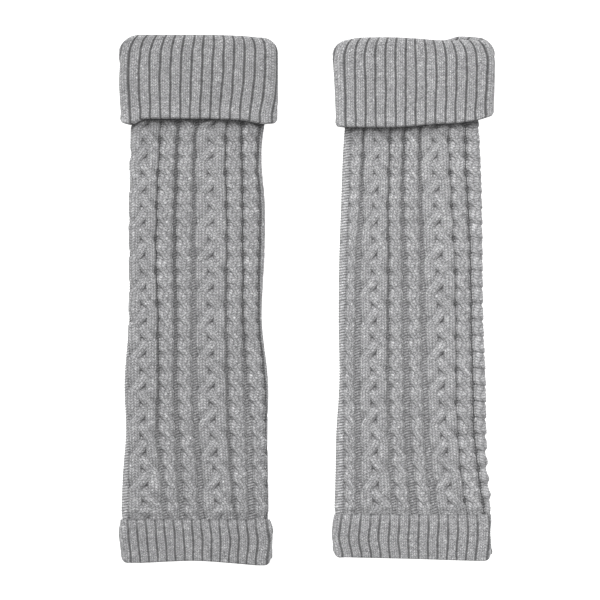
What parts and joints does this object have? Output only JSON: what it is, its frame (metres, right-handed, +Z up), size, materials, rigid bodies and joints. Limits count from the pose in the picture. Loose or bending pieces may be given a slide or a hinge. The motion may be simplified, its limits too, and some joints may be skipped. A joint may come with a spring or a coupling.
{
  "type": "pair of leg warmers",
  "caption": "Pair of cable-knit leg warmers laid flat side by side, each an open cabled tube with a turned ribbed cuff and a ribbed hem.",
  "frame": {"origin": "centre of the pair's bounding box, on the surface that the pair lies on", "axes": "+Z up from the surface, +Y along the legs towards the turned cuffs, +X to the right seen from above with the cuffs at the top"},
  "size_m": [0.3009, 0.4235, 0.0136],
  "materials": {
    "cable_knit": "soft heather grey wool-blend cable knit",
    "rib_knit": "soft heather grey wool-blend rib knit"
  },
  "bodies": {
    "root": {"left_body": "cable_knit", "left_cuff": "rib_knit", "left_hem": "rib_knit", "right_body": "cable_knit", "right_cuff": "rib_knit", "right_hem": "rib_knit"}
  },
  "joints": []
}
